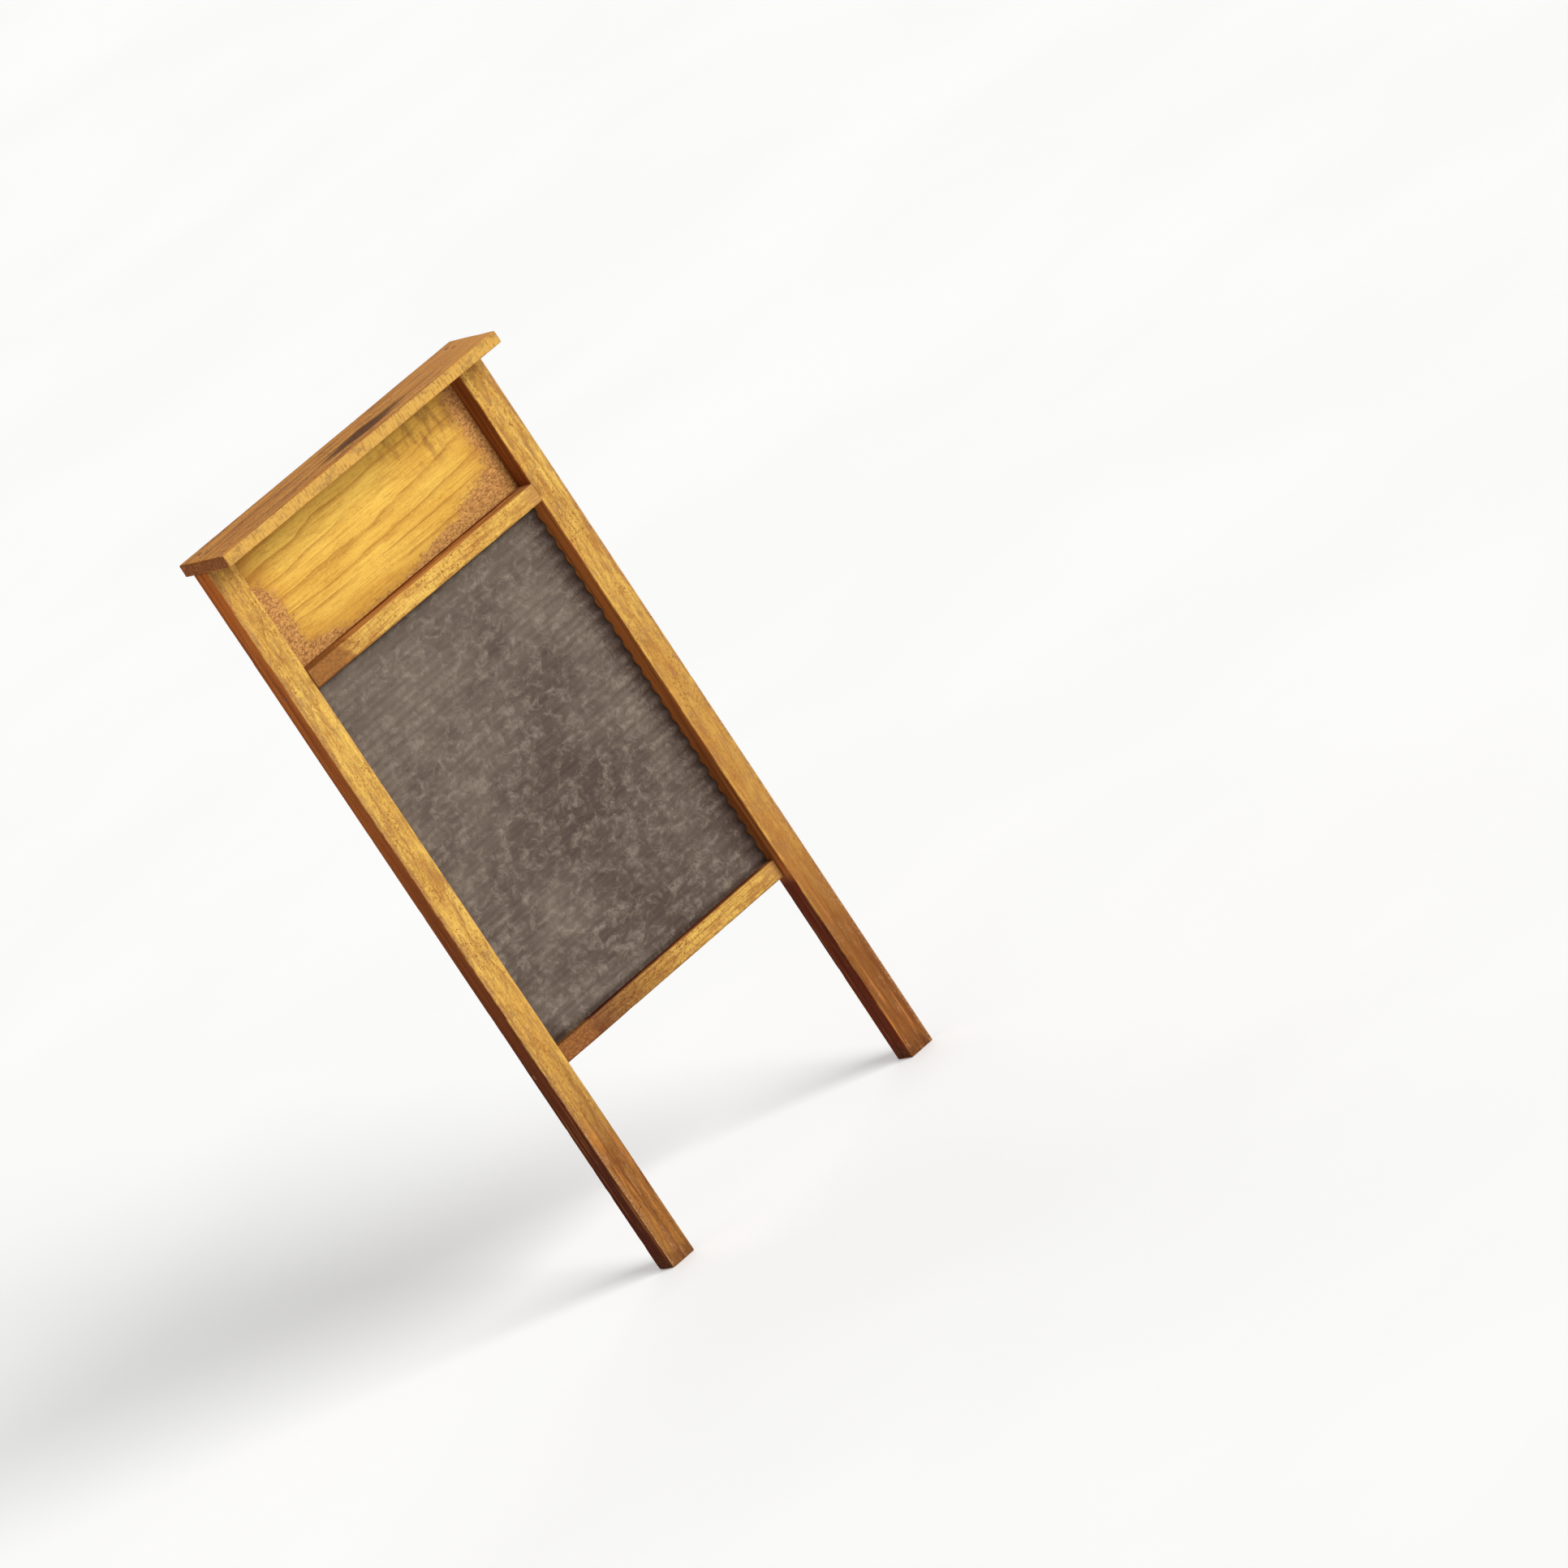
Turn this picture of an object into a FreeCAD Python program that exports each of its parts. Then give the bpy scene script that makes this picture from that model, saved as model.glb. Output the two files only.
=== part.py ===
"""A wooden washboard with a corrugated zinc rub sheet.

Millimetres. +Z runs up along the board and X across it. The board's face looks along -Y.
The origin is at the centre of the whole board's footprint, at the level of the feet.
"""

import FreeCAD, Part
import math
import os

# ---- driving dimensions ----

OVERALL_HEIGHT = 610.0
OVERALL_WIDTH = 274.0           # across the outer faces of the two stiles

STILE_WIDTH = 22.0
STILE_DEPTH = 19.5

CAP_THICKNESS = 10.0
CAP_DEPTH = 63.5
CAP_END_OVERHANG = 1.5
CAP_FRONT_OVERHANG = 36.0       # how far the cap stands in front of the stiles

RAIL_HEIGHT = 14.5
MID_RAIL_BOTTOM = 485.0
BOTTOM_RAIL_BOTTOM = 160.0
BOTTOM_RAIL_SETBACK = 10.5      # from the front of the stiles to the front of the bottom rail
TENON_LENGTH = 9.0
TENON_HEIGHT = 9.0
TENON_CHEEK = 2.5               # shoulder left in front of and behind each tenon

BACK_THICKNESS = 6.0
BACK_INSET = 5.0                # from the stiles' outer faces to the ends of the back boards
BACK_GAP = 0.8                  # shrinkage gap between neighbouring back boards
CAP_GAP = 0.4                   # between the cap's underside and the soap panel's top edge
BACK_BOARD_NAMES = ("back_board_lower", "back_board_middle", "back_board_upper")

SHEET_THICKNESS = 0.6
SHEET_SIDE_GAP = 0.3
SHEET_RISE = 4.0                # from the back of a valley to the front of a ridge
RIDGE_COUNT = 25
FLANK_ANGLE = 45.0              # between a flank of a ridge and the plane of the sheet
FLANGE_LENGTH = 9.0             # flat edge of the sheet, clamped behind each rail
REBATE_CLEARANCE = 0.1

EDGE_ROUND = 1.0                # along the stiles and the rails
CAP_ROUND = 1.4
BOARD_ROUND = 0.6

# cut nails: a tapered square shank under a small oblong head
NAIL_HEAD_LENGTH = 4.0
NAIL_HEAD_WIDTH = 2.8
NAIL_HEAD_THICKNESS = 0.8
NAIL_SHANK = 2.0                # side of the shank under the head
NAIL_TIP = 0.8                  # side of the shank at its blunt tip
FRAME_NAIL_LENGTH = 40.0
BACK_NAIL_LENGTH = 20.0
RAIL_BACK_NAIL_LENGTH = 13.0

# ---- places worked out from them ----

CAP_HALF_WIDTH = OVERALL_WIDTH / 2 + CAP_END_OVERHANG
CAP_FRONT = -CAP_DEPTH / 2
CAP_BOTTOM = OVERALL_HEIGHT - CAP_THICKNESS

STILE_FRONT = CAP_FRONT + CAP_FRONT_OVERHANG
STILE_BACK = STILE_FRONT + STILE_DEPTH
STILE_OUTER = OVERALL_WIDTH / 2
STILE_INNER = STILE_OUTER - STILE_WIDTH
STILE_MIDDLE = STILE_OUTER - STILE_WIDTH / 2

MID_RAIL_TOP = MID_RAIL_BOTTOM + RAIL_HEIGHT
BOTTOM_RAIL_TOP = BOTTOM_RAIL_BOTTOM + RAIL_HEIGHT
BOTTOM_RAIL_FRONT = STILE_FRONT + BOTTOM_RAIL_SETBACK

BACK_HALF_WIDTH = STILE_OUTER - BACK_INSET
BACK_REAR = STILE_BACK + BACK_THICKNESS
SOAP_PANEL_BOTTOM = MID_RAIL_BOTTOM + RAIL_HEIGHT / 2
SOAP_PANEL_TOP = CAP_BOTTOM - CAP_GAP
BACK_PITCH = (SOAP_PANEL_BOTTOM - BOTTOM_RAIL_BOTTOM) / len(BACK_BOARD_NAMES)
BACK_NAIL_XS = (-STILE_INNER / 2, 0, STILE_INNER / 2)   # the nails between the stiles, into a rail

UP = FreeCAD.Vector(0, 0, 1)
BACKWARD = FreeCAD.Vector(0, 1, 0)
RIGHT = FreeCAD.Vector(1, 0, 0)


# ---- helpers ----

def block(x_range, y_range, z_range):
    """An upright box from its lowest and highest X, Y and Z."""
    size = [high - low for low, high in (x_range, y_range, z_range)]
    corner = FreeCAD.Vector(x_range[0], y_range[0], z_range[0])
    return Part.makeBox(size[0], size[1], size[2], corner)


def is_along(edge, direction):
    """Whether a straight edge runs along a direction."""
    start, end = (vertex.Point for vertex in edge.Vertexes)
    return (end - start).normalize().cross(direction).Length < 1e-6


def round_long_edges(shape, direction, radius):
    """Round the four edges that run along a direction."""
    edges = [edge for edge in shape.Edges if is_along(edge, direction)]
    return shape.makeFillet(radius, edges)


def turned(shape, direction):
    """Turn a shape modelled along +Z so that it points along a direction."""
    result = shape.copy()
    result.Placement = FreeCAD.Placement(FreeCAD.Vector(), FreeCAD.Rotation(UP, direction))
    return result


def cut_nail(head_point, direction, length):
    """A cut nail whose head is flush with the surface at head_point."""
    def square(side, height):
        half = side / 2
        corners = [(-half, -half), (half, -half), (half, half), (-half, half), (-half, -half)]
        return Part.makePolygon([FreeCAD.Vector(x, y, height) for x, y in corners])

    shank = Part.makeLoft([square(NAIL_SHANK, 0), square(NAIL_TIP, length)], True, True)
    head = Part.makeBox(NAIL_HEAD_LENGTH, NAIL_HEAD_WIDTH, NAIL_HEAD_THICKNESS,
                        FreeCAD.Vector(-NAIL_HEAD_LENGTH / 2, -NAIL_HEAD_WIDTH / 2, 0))
    nail = turned(head.fuse(shank).removeSplitter(), direction)
    nail.translate(FreeCAD.Vector(*head_point))
    return nail


def without(shape, tools):
    """Cut each tool out of a shape."""
    return shape.cut(Part.makeCompound(tools)) if tools else shape


# ---- nails ----

def cap_nails():
    """Two nails down through the cap into the top of each stile."""
    inset = STILE_DEPTH / 4
    return [cut_nail((side * STILE_MIDDLE, y, OVERALL_HEIGHT), -UP, FRAME_NAIL_LENGTH)
            for side in (-1, 1)
            for y in (STILE_FRONT + inset, STILE_BACK - inset)]


def rail_nails():
    """One nail through each stile into the tenon at each end of both rails."""
    places = ((STILE_FRONT + STILE_DEPTH / 2, MID_RAIL_BOTTOM + RAIL_HEIGHT / 2),
              ((BOTTOM_RAIL_FRONT + STILE_BACK) / 2, BOTTOM_RAIL_BOTTOM + RAIL_HEIGHT / 2))
    return [cut_nail((side * STILE_OUTER, y, z), RIGHT * -side, FRAME_NAIL_LENGTH)
            for side in (-1, 1)
            for y, z in places]


def back_nail(x, z, length):
    """A nail from the rear through a back board."""
    return cut_nail((x, BACK_REAR, z), -BACKWARD, length)


def soap_panel_nails():
    """Two nails into each stile and three into the mid rail."""
    height = SOAP_PANEL_TOP - SOAP_PANEL_BOTTOM
    nails = [back_nail(side * STILE_MIDDLE, SOAP_PANEL_BOTTOM + share * height, BACK_NAIL_LENGTH)
             for side in (-1, 1)
             for share in (0.25, 0.68)]
    overlap_middle = (SOAP_PANEL_BOTTOM + MID_RAIL_TOP) / 2
    nails += [back_nail(x, overlap_middle, RAIL_BACK_NAIL_LENGTH) for x in BACK_NAIL_XS]
    return nails


def back_board_nails(index):
    """Two nails into each stile, and three into the bottom rail through the lowest board."""
    bottom = BOTTOM_RAIL_BOTTOM + index * BACK_PITCH
    nails = [back_nail(side * STILE_MIDDLE, bottom + share * BACK_PITCH, BACK_NAIL_LENGTH)
             for side in (-1, 1)
             for share in (0.22, 0.78)]
    if index == 0:
        below_flange = BOTTOM_RAIL_BOTTOM + (RAIL_HEIGHT - FLANGE_LENGTH) / 2
        nails += [back_nail(x, below_flange, RAIL_BACK_NAIL_LENGTH) for x in BACK_NAIL_XS]
    return nails


# ---- wooden pieces ----

def tenons(front, bottom):
    """The stub tenons at both ends of a rail, as boxes."""
    y_range = (front + TENON_CHEEK, STILE_BACK - TENON_CHEEK)
    middle = bottom + RAIL_HEIGHT / 2
    z_range = (middle - TENON_HEIGHT / 2, middle + TENON_HEIGHT / 2)
    return [block(sorted((side * (STILE_INNER - 1), side * (STILE_INNER + TENON_LENGTH))), y_range, z_range)
            for side in (-1, 1)]


def rail(front, bottom, rebate_at_top):
    """A rail between the stiles, rebated at the back for the edge of the rub sheet."""
    top = bottom + RAIL_HEIGHT
    bar = block((-STILE_INNER, STILE_INNER), (front, STILE_BACK), (bottom, top))
    bar = round_long_edges(bar, RIGHT, EDGE_ROUND)
    for tenon in tenons(front, bottom):
        bar = bar.fuse(tenon)
    rebate_height = FLANGE_LENGTH + REBATE_CLEARANCE
    rebate = (top - rebate_height, top + 1) if rebate_at_top else (bottom - 1, bottom + rebate_height)
    rebate_front = STILE_BACK - SHEET_THICKNESS - REBATE_CLEARANCE
    reach = STILE_INNER
    return bar.cut(block((-reach, reach), (rebate_front, STILE_BACK + 1), rebate)).removeSplitter()


def mid_rail():
    return without(rail(STILE_FRONT, MID_RAIL_BOTTOM, False), rail_nails() + soap_panel_nails())


def bottom_rail():
    return without(rail(BOTTOM_RAIL_FRONT, BOTTOM_RAIL_BOTTOM, True), rail_nails() + back_board_nails(0))


def stile(side):
    """A leg from the floor to the cap, mortised for the two rails."""
    bar = block((STILE_INNER, STILE_OUTER), (STILE_FRONT, STILE_BACK), (0, CAP_BOTTOM))
    bar = round_long_edges(bar, UP, EDGE_ROUND)
    if side < 0:
        bar = bar.mirror(FreeCAD.Vector(), RIGHT)
    mortises = tenons(STILE_FRONT, MID_RAIL_BOTTOM) + tenons(BOTTOM_RAIL_FRONT, BOTTOM_RAIL_BOTTOM)
    nails = cap_nails() + rail_nails() + soap_panel_nails()
    for index in range(len(BACK_BOARD_NAMES)):
        nails += back_board_nails(index)
    return without(bar, mortises + nails)


def cap_board():
    board = block((-CAP_HALF_WIDTH, CAP_HALF_WIDTH), (CAP_FRONT, -CAP_FRONT), (CAP_BOTTOM, OVERALL_HEIGHT))
    board = board.makeFillet(CAP_ROUND, board.Edges)
    return without(board, cap_nails())


def back_panel(z_range, nails):
    """A horizontal board across the back of both stiles."""
    board = block((-BACK_HALF_WIDTH, BACK_HALF_WIDTH), (STILE_BACK, BACK_REAR), z_range)
    rear_edges = [edge for edge in board.Edges
                  if all(vertex.Point.y > BACK_REAR - 0.001 for vertex in edge.Vertexes)]
    return without(board.makeFillet(BOARD_ROUND, rear_edges), nails)


def soap_panel():
    return back_panel((SOAP_PANEL_BOTTOM + BACK_GAP / 2, SOAP_PANEL_TOP), soap_panel_nails())


def back_board(index):
    bottom = BOTTOM_RAIL_BOTTOM + index * BACK_PITCH
    gap_below = BACK_GAP / 2 if index else 0
    return back_panel((bottom + gap_below, bottom + BACK_PITCH - BACK_GAP / 2), back_board_nails(index))


# ---- rub sheet ----

def wave_edges(offset):
    """The sheet's section at an offset in front of its middle surface, as (y, z) curves.

    It runs up from the lower flange. Each ridge is an arc between two straight flanks at
    FLANK_ANGLE, and each valley is the same arc the other way up.
    """
    angle = math.radians(FLANK_ANGLE)
    pitch = (MID_RAIL_BOTTOM - BOTTOM_RAIL_TOP) / RIDGE_COUNT
    rise = SHEET_RISE - SHEET_THICKNESS
    middle_radius = (math.tan(angle) * pitch / 2 - rise) / (2 / math.cos(angle) - 2)
    valley_radius = middle_radius - offset
    ridge_radius = middle_radius + offset
    floor_y = STILE_BACK - SHEET_THICKNESS / 2
    valley_centre = floor_y - middle_radius
    ridge_centre = floor_y - rise + middle_radius

    def point(y, z):
        return FreeCAD.Vector(0, y, z)

    def arc(centre_y, centre_z, radius, toward, start, end):
        """An arc about a centre; angles are measured from the Y axis towards +Z."""
        spots = [point(centre_y + toward * radius * math.cos(turn), centre_z + radius * math.sin(turn))
                 for turn in (start, (start + end) / 2, end)]
        return Part.Arc(*spots).toShape(), spots[0], spots[2]

    edges = []
    last = point(floor_y - offset, BOTTOM_RAIL_TOP - FLANGE_LENGTH)

    def line_to(target):
        edges.append(Part.LineSegment(last, target).toShape())

    def add(curve):
        nonlocal last
        shape, start, end = curve
        line_to(start)
        edges.append(shape)
        last = end

    for index in range(RIDGE_COUNT):
        low = BOTTOM_RAIL_TOP + index * pitch
        if index == 0:
            add(arc(valley_centre, low, valley_radius, 1, 0, angle))
        add(arc(ridge_centre, low + pitch / 2, ridge_radius, -1, -angle, angle))
        last_valley = index == RIDGE_COUNT - 1
        add(arc(valley_centre, low + pitch, valley_radius, 1, -angle, 0 if last_valley else angle))
    line_to(point(floor_y - offset, MID_RAIL_BOTTOM + FLANGE_LENGTH))
    return edges


def rub_sheet():
    half = SHEET_THICKNESS / 2
    front = wave_edges(half)
    back = wave_edges(-half)
    ends = []
    for index in (0, -1):
        vertex = 0 if index == 0 else -1
        ends.append(Part.LineSegment(front[index].Vertexes[vertex].Point,
                                     back[index].Vertexes[vertex].Point).toShape())
    outline = Part.Wire(Part.__sortEdges__(front + back + ends))
    width = 2 * (STILE_INNER - SHEET_SIDE_GAP)
    sheet = Part.Face(outline).extrude(RIGHT * width)
    sheet.translate(RIGHT * (-width / 2))
    return sheet


# ---- the assembly ----

def all_parts():
    """Every sub-part's shape by name; a group of nails is one compound."""
    board_nails = []
    parts = {}
    for index, name in enumerate(BACK_BOARD_NAMES):
        parts[name] = back_board(index)
        board_nails += back_board_nails(index)
    parts.update({
        "left_stile": stile(-1),
        "right_stile": stile(1),
        "cap_board": cap_board(),
        "mid_rail": mid_rail(),
        "bottom_rail": bottom_rail(),
        "soap_panel": soap_panel(),
        "rub_sheet": rub_sheet(),
        "cap_nails": Part.makeCompound(cap_nails()),
        "rail_nails": Part.makeCompound(rail_nails()),
        "soap_panel_nails": Part.makeCompound(soap_panel_nails()),
        "back_board_nails": Part.makeCompound(board_nails),
    })
    return parts


def main():
    os.makedirs("parts", exist_ok=True)
    for name, shape in all_parts().items():
        shape.exportStep("parts/%s.step" % name)
        print("%-20s %2d solid(s) %10.1f mm3  valid %s"
              % (name, len(shape.Solids), shape.Volume, shape.isValid()))


main()
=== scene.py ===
"""The looks of the wooden washboard with a corrugated zinc rub sheet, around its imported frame.

Metres, in the frame's own axes: +Z up along the board, X across it, the face towards -Y.
Every wooden piece is a worn copy of its CAD node, made as a fine lattice over the same box.
"""

import itertools
import math

import bpy
import numpy as np
from mathutils import Matrix, Vector


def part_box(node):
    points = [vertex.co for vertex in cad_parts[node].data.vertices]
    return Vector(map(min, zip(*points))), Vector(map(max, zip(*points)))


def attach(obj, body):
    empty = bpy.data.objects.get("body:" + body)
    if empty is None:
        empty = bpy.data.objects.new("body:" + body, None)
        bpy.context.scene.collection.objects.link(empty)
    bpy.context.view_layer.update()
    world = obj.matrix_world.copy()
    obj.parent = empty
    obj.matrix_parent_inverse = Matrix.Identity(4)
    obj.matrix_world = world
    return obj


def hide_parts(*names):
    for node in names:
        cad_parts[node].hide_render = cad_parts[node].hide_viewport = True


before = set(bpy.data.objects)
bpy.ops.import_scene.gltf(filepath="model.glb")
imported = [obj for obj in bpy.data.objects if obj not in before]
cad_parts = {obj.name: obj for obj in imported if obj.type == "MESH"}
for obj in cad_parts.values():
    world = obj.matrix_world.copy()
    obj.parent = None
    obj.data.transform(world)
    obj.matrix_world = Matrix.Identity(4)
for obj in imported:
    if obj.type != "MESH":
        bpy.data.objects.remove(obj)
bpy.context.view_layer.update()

MM = 0.001
BODY = "root"
AXES = (0, 1, 2)

# ---- places read from the frame ----

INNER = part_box("right_stile")[0].x          # the stiles' faces towards the middle
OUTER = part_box("right_stile")[1].x
STILE_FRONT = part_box("right_stile")[0].y
STILE_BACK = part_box("right_stile")[1].y
STILE_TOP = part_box("right_stile")[1].z
MID_LOW, MID_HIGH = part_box("mid_rail")
BOTTOM_LOW, BOTTOM_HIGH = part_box("bottom_rail")
CAP_LOW, CAP_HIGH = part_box("cap_board")
SHEET_LOW, SHEET_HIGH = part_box("rub_sheet")

# the joinery, as the frame's own pieces have it
TENON_HEIGHT = 9.0 * MM
TENON_CHEEK = 2.5 * MM
REBATE_HEIGHT = 9.1 * MM
REBATE_DEPTH = 0.7 * MM
STEP = 0.02 * MM                            # half the width of a sharp step in a lattice
EDGE_LIMIT = 0.45                           # the widest edge, as a share of a piece's size

SHEET_THICKNESS = 0.6 * MM
RIDGE_COUNT = 25
ROWS_PER_RIDGE = 12
SHEET_COLUMNS = 78
FLANGE_ROWS = 5                             # in each flat edge of the sheet
ROUNDNESS = 0.06                            # how much fuller a ridge is than a cosine
WORN_SIZE = (0.07, 0.11)                    # of the worn middle, across and up, in metres
WORN_SHARE = 0.10                           # of a ridge's rise, lost in the worn middle
UNEVEN_SHARE = 0.05
UNEVEN_LUMP = (0.03, 1, 0.02)               # each lump is in metres, along X, Y and Z
DENT_SHARE = 0.25
DENT_LUMP = (0.016, 1, 0.012)
DENT_RANGE = (0.62, 0.95)                   # of the noise, from no dent to a whole one
SWAY = 0.2 * MM
SWAY_LUMP = (0.05, 1, 0.03)


# ---- noise for shapes ----

def lattice_values(cells, seed):
    """A repeatable value from 0 to 1 at each whole lattice point."""
    mixed = cells[:, 0] * 73856093 ^ cells[:, 1] * 19349663 ^ cells[:, 2] * 83492791
    mixed = (mixed ^ (seed + 1) * 97531) & 0xFFFFFFFF
    mixed = ((mixed ^ mixed >> 15) * 2246822519) & 0xFFFFFFFF
    mixed = ((mixed ^ mixed >> 13) * 3266489917) & 0xFFFFFFFF
    return ((mixed ^ mixed >> 16) & 0xFFFF) / 0xFFFF


def noise(points, size, seed):
    """Smooth noise from -1 to 1; size is one lump's length along each axis, in metres."""
    place = points / np.asarray(size)
    cell = np.floor(place).astype(np.int64)
    part = place - cell
    part = part * part * (3 - 2 * part)
    total = np.zeros(len(points))
    for corner in itertools.product((0, 1), repeat=3):
        weight = np.prod(np.where(corner, part, 1 - part), axis=1)
        total += weight * lattice_values(cell + corner, seed)
    return 2 * total - 1


def smoothstep(low, high, value):
    share = np.clip((value - low) / (high - low), 0, 1)
    return share * share * (3 - 2 * share)


def along(grain, length, across):
    """A lump's size along each axis, longer along the grain."""
    return [length if axis == grain else across for axis in AXES]


# ---- meshes ----

def make_piece(name, points, faces, look, replaced, sharp=40):
    """A mesh piece that stands for a CAD node and rides with the board."""
    mesh = bpy.data.meshes.new(name)
    mesh.from_pydata(np.asarray(points).tolist(), [], [list(map(int, f)) for f in faces])
    mesh.validate()
    mesh.polygons.foreach_set("use_smooth", [True] * len(mesh.polygons))
    mesh.set_sharp_from_angle(angle=math.radians(sharp))
    piece = bpy.data.objects.new(name, mesh)
    bpy.context.scene.collection.objects.link(piece)
    mesh.materials.append(look)
    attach(piece, BODY)
    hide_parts(replaced)
    return piece


RIM_SHARES = (0, 0.12, 0.3, 0.55, 1.0)      # where a rounded edge is cut, from its outside in


def lattice_lines(low, high, edge, spacing, extra):
    """Where a lattice is cut along one axis: closer together in its rounded edges."""
    rim = edge * np.array(RIM_SHARES)
    count = max(1, round((high - low - 2 * edge) / spacing))
    middle = np.linspace(low + edge, high - edge, count + 1)
    steps = [value + side for value in extra for side in (-STEP, STEP)]
    return np.unique(np.concatenate([low + rim, middle, high - rim, steps]))


def shell(lines):
    """The closed surface of a lattice box, as points and outward quads."""
    counts = [len(line) for line in lines]
    quads = []
    for axis in AXES:
        b, c = (axis + 1) % 3, (axis + 2) % 3
        index_b, index_c = np.meshgrid(range(counts[b]), range(counts[c]), indexing="ij")
        for end in (0, counts[axis] - 1):
            index = [None] * 3
            index[axis], index[b], index[c] = np.full_like(index_b, end), index_b, index_c
            ids = (index[0] * counts[1] + index[1]) * counts[2] + index[2]
            ring = [ids[:-1, :-1], ids[1:, :-1], ids[1:, 1:], ids[:-1, 1:]]
            if end == 0:
                ring.reverse()
            quads.append(np.stack([corner.ravel() for corner in ring], axis=1))
    used, quads = np.unique(np.concatenate(quads), return_inverse=True)
    i, rest = np.divmod(used, counts[1] * counts[2])
    j, k = np.divmod(rest, counts[2])
    points = np.stack([lines[0][i], lines[1][j], lines[2][k]], axis=1)
    return points, quads.reshape(-1, 4)


# one lump's length along the grain and width across it, in metres
WEAR_LUMP = (0.045, 0.012)
BITE_LUMP = (0.011, 0.008)
FIBRE_LUMP = (0.06, 0.0026)
WARP_LUMP = (0.11, 0.017)
SAW_LUMP = (0.0035, 0.05)

BITE_RANGE = (0.45, 0.85)                   # of the noise, from no bite to a whole one
NAIL_DISH_RADIUS = 3.2 * MM                 # the wood is dished round each nail's head
NAIL_DISH_DEPTH = 0.35                      # in millimetres, like the other depths in plank
NAIL_DISH_REACH = 1.5 * MM


def plank(node, look, grain, seed, edge, wear, nick, relief,
          saw=0.0, extra=((), (), ()), spacing=(4.0, 1.2), nails=(), reshape=None):
    """A worn wooden piece in the box of its CAD node.

    In millimetres: edge is the usual radius of an arris, nick the depth of its worst bites,
    relief the height of the raised grain, saw that of the saw's marks, and spacing the
    lattice's, along and across the grain. wear is the share by which an arris varies, and
    extra holds each axis's places for sharp steps, in metres.
    """
    low, high = (np.array(corner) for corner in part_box(node))
    widest = (edge * (1 + wear) + nick) * MM
    lines = [lattice_lines(low[axis], high[axis], min(widest, (high - low)[axis] * EDGE_LIMIT),
                           (spacing[0] if axis == grain else spacing[1]) * MM, extra[axis])
             for axis in AXES]
    points, quads = shell(lines)

    radius = edge * (1 + wear * noise(points, along(grain, *WEAR_LUMP), seed))
    bites = smoothstep(*BITE_RANGE, noise(points, along(grain, *BITE_LUMP), seed + 1))
    radius = (radius + nick * bites) * MM
    radius = np.minimum(radius, (high - low).min() * EDGE_LIMIT)[:, None]
    inner = np.clip(points, low + radius, high - radius)
    outward = points - inner
    outward /= np.linalg.norm(outward, axis=1)[:, None]

    depth = relief * (0.5 + 0.5 * noise(points, along(grain, *FIBRE_LUMP), seed + 2))
    depth += relief * (0.5 + 0.5 * noise(points, along(grain, *WARP_LUMP), seed + 3))
    if saw:
        depth += saw * (0.5 + 0.5 * noise(points, along(grain, *SAW_LUMP), seed + 4))
    for centre, direction, _, _ in nails:
        away = points - centre
        flat = away - np.outer(away @ direction, direction)
        dish = np.exp(-(np.linalg.norm(flat, axis=1) / NAIL_DISH_RADIUS) ** 2)
        depth += NAIL_DISH_DEPTH * dish * (np.abs(away @ direction) < NAIL_DISH_REACH)
    points = inner + outward * (radius - depth[:, None] * MM)
    if reshape:
        points = reshape(points)
    return make_piece(node + "_worn", points, quads, look, node)


def pushed(points, low, high, move):
    """Moves the points that lie between two corners, to sink a recess."""
    inside = np.all((points > low) & (points < high), axis=1)
    points[inside] += move
    return points


# ---- nails ----

NAIL_APART = 6 * MM                         # vertices closer than this are on one nail


def nails_of(node, axis):
    """Each nail of a CAD node: its head's middle, its direction, its length and half sizes."""
    cloud = np.array([vertex.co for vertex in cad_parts[node].data.vertices])
    found = []
    while len(cloud):
        side = math.copysign(1, cloud[0, axis])
        gap = cloud - cloud[0]
        gap[:, axis] = 0
        own = (np.linalg.norm(gap, axis=1) < NAIL_APART) & (np.sign(cloud[:, axis]) == side)
        nail, cloud = cloud[own], cloud[~own]
        low, high = nail.min(0), nail.max(0)
        centre = (low + high) / 2
        centre[axis] = high[axis] if side > 0 else low[axis]
        direction = np.zeros(3)
        direction[axis] = -side
        half = (high - low) / 2
        length = 2 * half[axis]
        half[axis] = 0
        found.append((centre, direction, length, half))
    return found


# depth below the face in mm, and share of the head's half size
HEAD_RINGS = ((0.02, 0.25), (0.04, 0.55), (0.08, 0.82), (0.18, 0.96), (0.4, 1.0), (0.78, 0.97))
RING_POINTS = 24
HEAD_SQUARENESS = 5                         # 2 would be an ellipse, and more is squarer
HEAD_DENT = 0.05 * MM
HEAD_DENT_SIZE = 1.3 * MM
DENTED_DEPTH = 0.3 * MM
SHANK_TOP = 0.8 * MM                        # below the face
SHANK_HALF = 1.0 * MM
TIP_HALF = 0.4 * MM


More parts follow.
